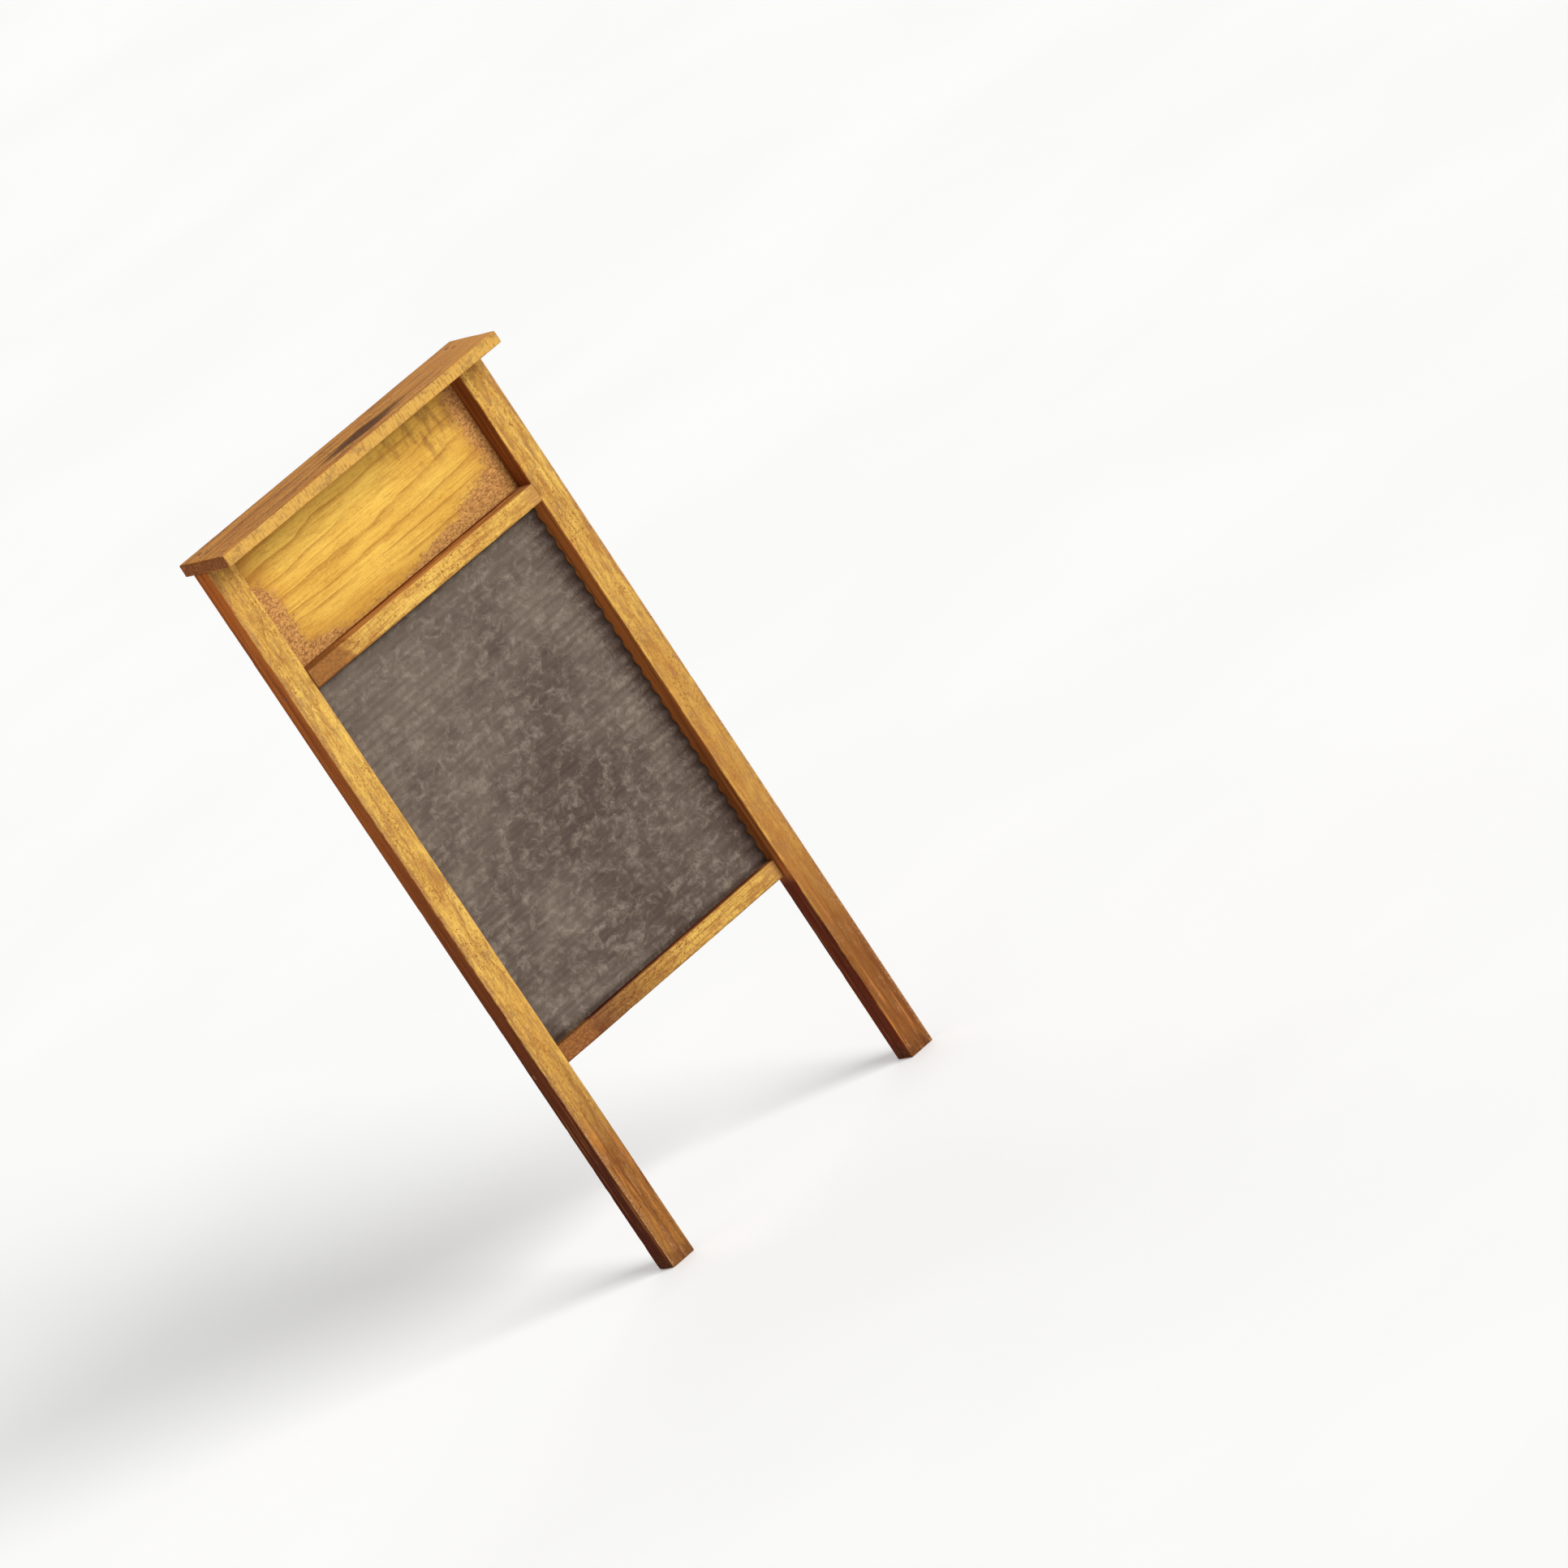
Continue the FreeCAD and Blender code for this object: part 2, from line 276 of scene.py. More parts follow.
def nail_group(node, axis, look, seed):
    """Cut nails with hammered heads, one closed shell each."""
    points, faces = [], []
    turn = np.linspace(0, 2 * math.pi, RING_POINTS, endpoint=False)
    b, c = (axis + 1) % 3, (axis + 2) % 3
    for number, (centre, direction, length, half) in enumerate(nails_of(node, axis)):
        rings = [(depth * MM, half[b] * share, half[c] * share) for depth, share in HEAD_RINGS]
        rings += [(SHANK_TOP, SHANK_HALF, SHANK_HALF), (length, TIP_HALF, TIP_HALF)]
        start = len(points)
        points.append(centre + direction * 0.01 * MM)
        for depth, half_b, half_c in rings:
            ring = np.zeros((RING_POINTS, 3))
            square = (np.abs(np.cos(turn)) ** HEAD_SQUARENESS
                      + np.abs(np.sin(turn)) ** HEAD_SQUARENESS) ** (-1 / HEAD_SQUARENESS)
            ring[:, b] = half_b * square * np.cos(turn)
            ring[:, c] = half_c * square * np.sin(turn)
            ring += centre + direction * depth
            dents = noise(ring, [HEAD_DENT_SIZE] * 3, seed + number)
            ring += direction * (HEAD_DENT * (1 + dents))[:, None] * (depth < DENTED_DEPTH)
            points.extend(ring)
        points.append(centre + direction * length)
        flip = direction[axis] > 0
        last = start + 1 + RING_POINTS * (len(rings) - 1)
        for k in range(RING_POINTS):
            after = (k + 1) % RING_POINTS
            made = [(start, start + 1 + k, start + 1 + after),
                    (len(points) - 1, last + after, last + k)]
            for index in range(len(rings) - 1):
                upper = start + 1 + index * RING_POINTS
                lower = upper + RING_POINTS
                made.append((upper + k, lower + k, lower + after, upper + after))
            faces += [face[::-1] if flip else face for face in made]
    return make_piece(node + "_worn", points, faces, look, node, sharp=50)


# ---- rub sheet ----

def sheet_piece(look):
    """The corrugated sheet, with its ridges a little dented and rubbed down in the middle."""
    bottom, top = BOTTOM_HIGH.z, MID_LOW.z
    pitch = (top - bottom) / RIDGE_COUNT
    rows = np.concatenate([np.linspace(SHEET_LOW.z, bottom, FLANGE_ROWS)[:-1],
                           np.linspace(bottom, top, RIDGE_COUNT * ROWS_PER_RIDGE + 1),
                           np.linspace(top, SHEET_HIGH.z, FLANGE_ROWS)[1:]])
    columns = np.linspace(SHEET_LOW.x, SHEET_HIGH.x, SHEET_COLUMNS)
    x, z = (grid.ravel() for grid in np.meshgrid(columns, rows, indexing="ij"))
    flat = np.stack([x, np.zeros_like(x), z], axis=1)

    waved = (z > bottom) & (z < top)
    phase = (z - bottom) / pitch * 2 * math.pi
    swing = 0.5 - 0.5 * np.cos(phase)
    swing = swing + ROUNDNESS * np.sin(phase) ** 2 * np.sign(swing - 0.5)
    rise = (SHEET_HIGH.y - SHEET_LOW.y) - SHEET_THICKNESS
    middle = np.exp(-(x / WORN_SIZE[0]) ** 2 - ((z - (bottom + top) / 2) / WORN_SIZE[1]) ** 2)
    rubbed = WORN_SHARE * middle + UNEVEN_SHARE * (1 + noise(flat, UNEVEN_LUMP, 61))
    dents = smoothstep(*DENT_RANGE, noise(flat, DENT_LUMP, 62))
    rise_here = rise * (1 - rubbed) * (1 - DENT_SHARE * dents)
    sway = SWAY * (1 + noise(flat, SWAY_LUMP, 63)) * swing
    height = np.where(waved, swing * rise_here - sway, 0)

    back = SHEET_HIGH.y - height
    slope = np.gradient(back.reshape(len(columns), len(rows)), rows, axis=1).ravel()
    normal = np.stack([np.zeros_like(x), -np.ones_like(x), slope], axis=1)
    normal /= np.linalg.norm(normal, axis=1)[:, None]
    rear = np.stack([x, back, z], axis=1)
    front = rear + normal * SHEET_THICKNESS
    front[:, 1] = np.maximum(front[:, 1], SHEET_LOW.y)
    count = len(x)
    ids = np.arange(count).reshape(len(columns), len(rows))

    def quads(a, b, c, d):
        return np.stack([part.ravel() for part in (a, b, c, d)], axis=1)

    face = quads(ids[:-1, :-1], ids[1:, :-1], ids[1:, 1:], ids[:-1, 1:])
    faces = [face, face[:, ::-1] + count]
    loop = np.concatenate([ids[:-1, 0], ids[-1, :-1], ids[:0:-1, -1], ids[0, :0:-1]])
    after = np.roll(loop, -1)
    faces.append(np.stack([after, loop, loop + count, after + count], axis=1))
    return make_piece("rub_sheet_worn", np.concatenate([front, rear]), np.concatenate(faces),
                      look, "rub_sheet", sharp=60)


# ---- materials ----

def linear(colour):
    """An sRGB colour from 0 to 255 as linear red, green, blue and alpha."""
    shares = [value / 255 for value in colour]
    return [s / 12.92 if s <= 0.04045 else ((s + 0.055) / 1.055) ** 2.4 for s in shares] + [1]


FACING_RANGE = (0.55, 0.8)                  # of the normal, from not facing to facing


class Look:
    """One node material under construction. Lengths inside it are millimetres."""

    def __init__(self, name, grain=0, seed=0):
        self.material = bpy.data.materials.new(name)
        self.material.use_nodes = True
        self.tree = self.material.node_tree
        self.tree.nodes.clear()
        self.grain, self.seed = grain, seed
        coordinates = self.add("ShaderNodeTexCoord")
        self.place = self.add("ShaderNodeVectorMath", {"operation": "SCALE"},
                              {"Vector": coordinates.outputs["Object"],
                               "Scale": 1 / MM}).outputs[0]
        self.axis = self.split(self.place)
        self.normal = self.split(coordinates.outputs["Normal"])

    def add(self, kind, settings=None, inputs=None):
        node = self.tree.nodes.new(kind)
        for name, value in (settings or {}).items():
            setattr(node, name, value)
        for name, value in (inputs or {}).items():
            if isinstance(value, bpy.types.NodeSocket):
                self.tree.links.new(value, node.inputs[name])
            else:
                node.inputs[name].default_value = value
        return node

    def split(self, vector):
        return self.add("ShaderNodeSeparateXYZ", None, {0: vector}).outputs[:3]

    def math(self, operation, *values):
        return self.add("ShaderNodeMath", {"operation": operation},
                        dict(enumerate(values))).outputs[0]

    def plus(self, *values):
        total = values[0]
        for value in values[1:]:
            total = self.math("ADD", total, value)
        return total

    def times(self, *values):
        total = values[0]
        for value in values[1:]:
            total = self.math("MULTIPLY", total, value)
        return total

    def largest(self, *values):
        total = values[0]
        for value in values[1:]:
            total = self.math("MAXIMUM", total, value)
        return total

    def ramp(self, value, low, high, start=0.0, end=1.0, kind="SMOOTHSTEP"):
        """start below low, end above high, and a smooth change between them."""
        return self.add("ShaderNodeMapRange", {"interpolation_type": kind},
                        {0: value, 1: low, 2: high, 3: start, 4: end}).outputs[0]

    def near(self, axis, place, width):
        """1 at a place along an axis, falling to 0 at a width to either side."""
        away = self.math("ABSOLUTE", self.math("SUBTRACT", self.axis[axis], place / MM))
        return self.ramp(away, 0.0, width, 1.0, 0.0, "LINEAR")

    def facing(self, axis, sign):
        """1 on faces that look along an axis, with a soft change round an arris."""
        return self.ramp(self.math("MULTIPLY", self.normal[axis], float(sign)), *FACING_RANGE)

    def lumps(self, length, across, detail=3, rough=0.5, shift=0, twist=0.0, upright=None):
        """Noise around 0.5, in lumps of a length along the grain and a width across it.

        Each seed and shift gives another pattern. upright is an axis and the lumps' own size
        along it.
        """
        size = along(self.grain, length, across)
        if upright is not None:
            size[upright[0]] = upright[1]
        moved = self.add("ShaderNodeMapping", None, {
            "Vector": self.place,
            "Scale": [1 / value for value in size],
            "Location": [self.seed * 7.31 + shift * 3.7, shift * 5.13, self.seed * 2.9]})
        return self.add("ShaderNodeTexNoise", None, {
            "Vector": moved.outputs[0], "Scale": 1.0, "Detail": float(detail),
            "Roughness": rough, "Distortion": twist}).outputs[0]

    def mix(self, share, first, second, mode="MIX"):
        """Mixes two colours, each an sRGB triple or a socket."""
        node = self.add("ShaderNodeMix", {"data_type": "RGBA", "blend_type": mode})
        # a colour mix takes its factor in socket 0, and its colours in sockets 6 and 7
        for index, value in ((0, share), (6, first), (7, second)):
            if isinstance(value, bpy.types.NodeSocket):
                self.tree.links.new(value, node.inputs[index])
            elif index:
                node.inputs[index].default_value = linear(value)
            else:
                node.inputs[index].default_value = value
        return node.outputs[2]

    def finish(self, colour, roughness, height, bump=0.3, specular=0.3, metallic=0.0):
        """Links the surface; bump is the height of the relief in millimetres."""
        raised = self.add("ShaderNodeBump", None,
                          {"Strength": 1.0, "Distance": bump * MM, "Height": height})
        surface = self.add("ShaderNodeBsdfPrincipled", None, {
            "Base Color": colour, "Roughness": roughness, "Normal": raised.outputs[0],
            "Specular IOR Level": specular, "Metallic": metallic})
        output = self.add("ShaderNodeOutputMaterial")
        self.tree.links.new(surface.outputs[0], output.inputs[0])
        return self.material


WOOD_GLOSS = 0.04

# sRGB colours that more than one kind of wooden piece uses
GOLD_PALE = (217, 178, 88)
GOLD_DEEP = (197, 152, 72)
GRAIN_LINE = (134, 85, 38)
BROWN = (150, 98, 48)
DIRT = (112, 70, 40)
DIRT_LIGHT = (172, 126, 84)
# dark dirt, and also painted shade on the stiles' inner faces beside the panel
DARK_DIRT_AND_SHADE = (62, 32, 18)
GREY_DIRT = (132, 102, 70)


class Wood(Look):
    """Old golden wood: growth rings, fibre, short pores, gritty patches and ragged dirt.

    pith is the middle of the growth rings across the grain and ring is their spacing. lines is
    the strength of each ring's dark line, wander how wavy it is and grit how gritty the wood is.
    """

    def __init__(self, name, grain, seed, pale, deep, line, pith, ring=11.0, lines=0.7,
                 wander=6.0, grit=1.0):
        super().__init__(name, grain, seed)
        across = [axis for axis in AXES if axis != grain]
        squares = [self.math("POWER", self.math("SUBTRACT", self.axis[axis], centre), 2.0)
                   for axis, centre in zip(across, pith)]
        radius = self.math("SQRT", self.plus(*squares))
        waver = self.math("MULTIPLY", self.lumps(190, 40, 2, shift=1), 34.0)
        small = self.math("MULTIPLY", self.lumps(36, 10, 2, shift=2), wander)
        phase = self.math("FRACT", self.math("DIVIDE", self.plus(radius, waver, small), ring))
        edge = self.ramp(phase, 0.95, 1.0, 1.0, 0.0)
        self.line = self.times(self.math("POWER", phase, 6.0), edge,
                               self.ramp(self.lumps(70, 22, 2, shift=3), 0.3, 0.55))
        self.fibre = self.lumps(60, 0.8, 3, 0.6, shift=4)
        self.pores = self.ramp(self.lumps(5.5, 0.5, 2, 0.5, shift=5), 0.6, 0.74)
        self.grit = self.lumps(2.3, 1.5, 3, 0.72, shift=7, twist=0.6)
        gritty = self.ramp(self.lumps(34, 13, 4, 0.6, shift=9), 0.42, 0.6, 0.34 * grit, grit)
        broad = self.ramp(self.lumps(80, 26, 3, 0.55, shift=6), 0.32, 0.68)
        mottle = self.lumps(26, 3.4, 5, 0.68, shift=8)
        colour = self.mix(broad, deep, pale)
        colour = self.mix(self.ramp(phase, 0.3, 1.0, 0.0, 0.22), colour, deep)
        colour = self.mix(self.times(self.line, lines), colour, line)
        colour = self.mix(self.ramp(mottle, 0.46, 0.74, 0.0, 0.42), colour, line)
        colour = self.mix(self.ramp(self.fibre, 0.42, 0.75, 0.0, 0.4), colour, line)
        colour = self.mix(self.times(self.ramp(self.grit, 0.5, 0.64), gritty), colour, line)
        colour = self.mix(self.ramp(self.grit, 0.44, 0.3, 0.0, 0.45), colour, pale)
        self.colour = self.mix(self.times(self.pores, 0.35), colour, line)
        self.height = self.plus(self.times(self.fibre, 0.7), self.times(self.line, -0.5),
                                self.times(self.pores, -0.4), self.times(self.grit, 0.25))
        self.worn = None

    def tint(self, share, tone, mode="MIX"):
        """Mixes a share of a tone into the colour so far."""
        self.colour = self.mix(share, self.colour, tone, mode)

    def soil(self, bias, dark, light, length, across, low, high, amount, shift, rough=0.72):
        """Ragged, gritty dirt: whole where bias is 1, in specks where it is about a half."""
        cover = self.ramp(self.plus(bias, self.lumps(length, across, 7, rough, shift)), low, high)
        cover = self.times(cover, amount)
        tone = self.mix(self.ramp(self.grit, 0.36, 0.66), dark, light)
        self.tint(cover, tone)
        self.worn = cover if self.worn is None else self.largest(self.worn, cover)

    def blotches(self, tone, length, across, low, high, amount, shift=21):
        """Soft-edged patches of a tone, gritty inside."""
        patch = self.ramp(self.lumps(length, across, 6, 0.66, shift), low, high, 0.0, amount)
        self.tint(self.times(patch, self.ramp(self.grit, 0.35, 0.6, 0.5, 1.0)), tone)

    def done(self, bump=0.25):
        """The finished material: dirt is rougher than clean wood, and lies a little lower."""
        roughness = self.ramp(self.fibre, 0.3, 0.7, 0.56, 0.7)
        height = self.height
        if self.worn is not None:
            roughness = self.plus(roughness, self.times(self.worn, 0.15))
            height = self.plus(height, self.times(self.worn, -0.35))
        return self.finish(self.colour, roughness, height, bump, WOOD_GLOSS)


def stile_look(name, side, seed):
    """Golden in front, orange to dark brown at its sides, and darker towards the foot, with
    painted shade on the inner face and low on the sides, and a painted highlight along the front
    arrises.
    """
    look = Wood(name, 2, seed, GOLD_PALE, GOLD_DEEP, GRAIN_LINE, (side * 150, 60), ring=6.5)
    front = look.facing(1, -1)
    height = look.ramp(look.axis[2], 120.0, 520.0, 1.0, 0.0, "LINEAR")
    look.tint(look.times(height, 0.8 if side > 0 else 0.12), BROWN)
    look.blotches(BROWN, 30, 6, 0.48, 0.62, 0.75)
    look.blotches(GREY_DIRT, 14, 4.5, 0.55, 0.68, 0.6, shift=23)

    sides = look.largest(look.facing(0, 1), look.facing(0, -1))
    # Painted shade: the sides grow steadily darker towards the foot.
    side_shade_towards_foot = look.ramp(look.axis[2], 100.0, STILE_TOP / MM, 1.0, 0.0, "LINEAR")
    look.tint(look.times(sides, 0.5), (226, 160, 70))
    look.tint(sides, (246, 186, 162), "MULTIPLY")
    look.tint(look.times(sides, side_shade_towards_foot), (108, 74, 44), "MULTIPLY")
    inner = look.facing(0, -side)
    look.tint(look.times(inner, 0.6), (198, 122, 64))
    streak = look.ramp(look.lumps(120, 3.4, 4, 0.62, 25), 0.45, 0.62)
    look.tint(look.times(sides, streak, 0.55), (84, 38, 16))
    # Painted shade with dark dirt: the inner face from the mid rail up, beside the recessed panel,
    # is darkened.
    top = look.ramp(look.axis[2], MID_LOW.z / MM, MID_HIGH.z / MM)
    look.tint(look.times(inner, top, 0.5), DARK_DIRT_AND_SHADE)
    # Painted shade: the inner face of the leg below the bottom rail is made much darker.
    bottom = look.ramp(look.axis[2], BOTTOM_LOW.z / MM - 8, BOTTOM_LOW.z / MM + 4, 1.0, 0.0)
    look.tint(look.times(inner, bottom, 0.97), (160, 104, 70), "MULTIPLY")

    foot = look.ramp(look.axis[2], 60.0, BOTTOM_HIGH.z / MM + 40, 1.0, 0.0)
    ends = look.math("SUBTRACT", 1.0, sides)
    look.tint(look.times(foot, ends, 0.66 if side > 0 else 0.8), (164, 124, 132), "MULTIPLY")
    look.tint(look.times(foot, streak, ends, 0.5), (92, 46, 24))
    light = look.ramp(look.lumps(70, 3.0, 4, 0.6, 26), 0.54, 0.66)
    look.tint(look.times(foot, light, 0.5), (196, 124, 56))
    look.soil(look.near(2, 0.0, 26), DARK_DIRT_AND_SHADE, DIRT, 16, 3, 0.95, 1.3, 0.6, shift=12)
    look.soil(look.times(look.near(0, side * OUTER, 9.0), front, 0.7), DIRT, DIRT_LIGHT, 12, 3,
              0.9, 1.15, 0.75, shift=16)
    look.soil(look.times(front, 0.4), DIRT, DIRT_LIGHT, 26, 4, 0.9, 1.06, 0.7, shift=14)

    # Painted highlight along the front arrises, together with worn, pale wood there; fainter
    # towards the foot.
    edges = look.largest(look.near(0, side * OUTER, 2.0), look.near(0, side * INNER, 3.2))
    arris = look.times(edges, look.ramp(look.axis[1], STILE_FRONT / MM + 1.0,
                                        STILE_FRONT / MM + 2.5, 1.0, 0.0))
    bare_and_highlit = look.ramp(look.lumps(16, 4, 5, 0.66, 17), 0.42, 0.62)
    above = look.ramp(foot, 0.0, 0.8, 1.0, 0.25)
    look.tint(look.times(arris, bare_and_highlit, above, 0.55), (218, 172, 86))
    look.soil(look.times(look.near(2, STILE_TOP, 12), 0.62), DIRT, BROWN, 9, 5, 0.9, 1.2, 0.7,
              shift=15)
    joint = look.times(look.near(2, (MID_LOW.z + MID_HIGH.z) / 2, 13),
                       look.near(0, side * INNER, 9))
    look.soil(look.times(joint, front, 0.8), DIRT, BROWN, 5, 4, 0.85, 1.15, 0.7, shift=18)
    return look.done()


def cap_look():
    """Streaky brown on top, with one dark patch, and a paler front edge."""
    look = Wood("cap_wood", 0, 41, (228, 160, 70), (204, 134, 54), (134, 78, 38), (60, 480),
                ring=6.0, lines=0.6)
    streaks = look.lumps(60, 2.6, 5, 0.62, 31)
    top = look.facing(2, 1)
    look.tint(look.times(look.ramp(streaks, 0.48, 0.7), top, 0.85), (118, 68, 38))
    patch = look.times(look.near(0, 0.02, 74), look.near(1, CAP_LOW.y + 0.022, 19))
    look.soil(look.times(patch, top), (72, 44, 30), (112, 70, 44), 34, 3, 0.76, 1.06, 0.92,
              shift=32)
    corner = look.times(look.near(0, CAP_HIGH.x, 70), look.near(1, CAP_HIGH.y, 40), top)
    look.soil(corner, (84, 46, 28), (120, 70, 40), 24, 5, 0.95, 1.25, 0.3, shift=33)
    look.tint(look.times(top, look.near(0, CAP_HIGH.x, 110), 0.5), (226, 160, 84))
    front = look.facing(1, -1)
    look.tint(look.times(front, 0.9), (194, 152, 76))
    ticks = look.lumps(1.6, 7.0, 3, 0.6, 34)
    look.tint(look.times(front, look.ramp(ticks, 0.46, 0.68), 0.7), (146, 98, 48))
    greys = look.lumps(11, 6, 6, 0.68, 35)
    look.tint(look.times(front, look.ramp(greys, 0.5, 0.66), 0.65), (136, 100, 60))
    ends = look.largest(look.facing(0, -1), look.facing(0, 1))
    look.tint(look.times(ends, 0.85), (176, 104, 56))
    pits = look.ramp(look.lumps(4.0, 1.6, 4, 0.7, 37), 0.46, 0.62)
    look.tint(look.times(ends, pits, 0.6), (104, 58, 32))
    look.soil(look.times(ends, 0.55), (88, 46, 26), (140, 84, 46), 3, 3, 0.9, 1.2, 0.8, shift=36)
    # Painted shade: the underside is tinted a darker brown.
    under = look.facing(2, -1)
    look.tint(look.times(under, 0.6), (150, 92, 48))
    return look.done()


def panel_look():
    """The cleanest and palest wood, with ragged dirt round its edges and smears at its top."""
    look = Wood("panel_wood", 0, 7, (221, 182, 84), (205, 158, 68), (146, 92, 36), (60, 380),
                ring=13.0, lines=0.85, wander=5.0, grit=0.22)
    front = look.facing(1, -1)
    right = look.near(0, INNER, 34)
    left = look.near(0, -INNER, 38)
    low = look.near(2, MID_HIGH.z, 20)
    high = look.near(2, STILE_TOP, 9)
    skew = look.largest(look.ramp(look.axis[0], -90.0, -50.0, 1.0, 0.5),
                        look.ramp(look.axis[0], -5.0, 55.0, 0.5, 1.0))
    left_low = look.times(look.near(0, -INNER, 90), look.near(2, MID_HIGH.z, 34), 1.4)
    edges = look.largest(right, left, left_low, look.times(low, skew, 0.5), look.times(high, 0.6))
    look.tint(look.times(look.math("MINIMUM", edges, 1.0), front, 0.66), (176, 116, 50))
    smears = look.ramp(look.lumps(8, 20, 5, 0.62, 44), 0.44, 0.62)
    blot = look.times(look.near(0, 0.078, 58), look.near(2, STILE_TOP - 0.012, 46))
    look.tint(look.times(smears, look.ramp(blot, 0.0, 0.45), front, 0.6), (134, 90, 50))
    corner = look.times(look.near(0, INNER, 100), look.near(2, MID_HIGH.z, 42), 1.4)
    lower = look.ramp(look.axis[2], MID_HIGH.z / MM + 45, MID_HIGH.z / MM + 75, 1.0, 0.45)
    bias = look.largest(look.times(right, 0.75), look.times(left, lower, 1.3),
                        look.times(low, skew), corner, look.times(high, 0.5))
    bias = look.math("MINIMUM", bias, 0.66)
    look.soil(look.times(bias, front), (118, 74, 48), (204, 150, 90), 3.4, 3.8, 0.88, 1.08, 0.8,
              shift=43, rough=0.8)
    rear = look.facing(1, 1)
    look.tint(look.times(rear, 0.8), (162, 114, 70))
    stain = look.ramp(look.lumps(60, 14, 5, 0.64, 45), 0.46, 0.64)
    look.tint(look.times(rear, stain, 0.6), (112, 76, 48))
    return look.done()


def rail_look(name, seed, low):
    """Golden in front, with brown dirt at the left joint and at the lower arris, and painted shade
    with dark grit at the back of the top face.
    """
    look = Wood(name, 0, seed, GOLD_PALE, GOLD_DEEP, GRAIN_LINE, (60, 300), ring=5.0)
    ticks = look.lumps(1.5, 5.0, 3, 0.6, 51)
    look.tint(look.times(look.facing(1, -1), look.ramp(ticks, 0.48, 0.7), 0.5), BROWN)
    look.blotches(BROWN, 24, 7, 0.48, 0.64, 0.75)
    look.tint(look.times(look.facing(2, 1), 0.7), (194, 130, 70))
    look.tint(look.times(look.facing(2, 1), look.near(1, STILE_FRONT, 9)), (226, 172, 98))
    wisps = look.ramp(look.lumps(70, 1.3, 4, 0.62, 55), 0.45, 0.56)
    look.tint(look.times(look.facing(2, 1), wisps, 0.75), (124, 62, 30))
    # Painted shade with gritty dark dirt in the crease at the back of the top face, where the mid
    # rail meets the panel and the bottom rail meets the sheet.
    ledge = look.times(look.facing(2, 1), look.near(1, STILE_BACK, 10))
    look.soil(ledge, (84, 32, 14), (112, 54, 26), 9, 3, 0.75, 1.05, 0.95, shift=52)
    if name.startswith("bottom"):
        look.tint(look.ramp(look.axis[0], -100.0, 40.0, 1.0, 0.16), (136, 104, 146), "MULTIPLY")
    else:
        look.tint(look.times(look.near(0, -INNER, 85), 0.55), (146, 92, 46))
    look.soil(look.near(0, -INNER, 70), DIRT, BROWN, 5, 5, 0.84, 1.08, 0.9, shift=53)
    broken = look.ramp(look.lumps(20, 3, 4, 0.6, 56), 0.3, 0.55)
    arris = look.times(look.near(2, low.z, 2.2), broken)
    look.tint(look.times(arris, 0.75), (96, 48, 24))
    look.soil(look.times(look.near(0, INNER, 30), 0.75), BROWN, DIRT_LIGHT, 8, 5, 0.85, 1.2, 0.7,
              shift=54)
    look.tint(look.times(look.near(0, -INNER, 1.6), 0.8), DARK_DIRT_AND_SHADE)
    return look.done()


def back_look(name, seed):
    """Rough, dull boards that are seen from behind."""
    look = Wood(name, 0, seed, (186, 144, 86), (164, 118, 66), (110, 74, 42),
                (60, 80 + seed * 9), ring=9.0)
    look.blotches((118, 82, 50), 40, 16, 0.48, 0.7, 0.6)
    look.blotches((136, 120, 98), 50, 8, 0.52, 0.7, 0.45, shift=24)
    low, high = (corner.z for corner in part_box(name))
    rims = look.largest(look.near(0, -OUTER, 30), look.near(0, OUTER, 30),
                        look.near(2, low, 14), look.near(2, high, 14))
    look.soil(look.times(rims, 0.8), (84, 54, 34), (128, 92, 60), 8, 4, 0.88, 1.25, 0.7, shift=61)
    return look.done(0.35)


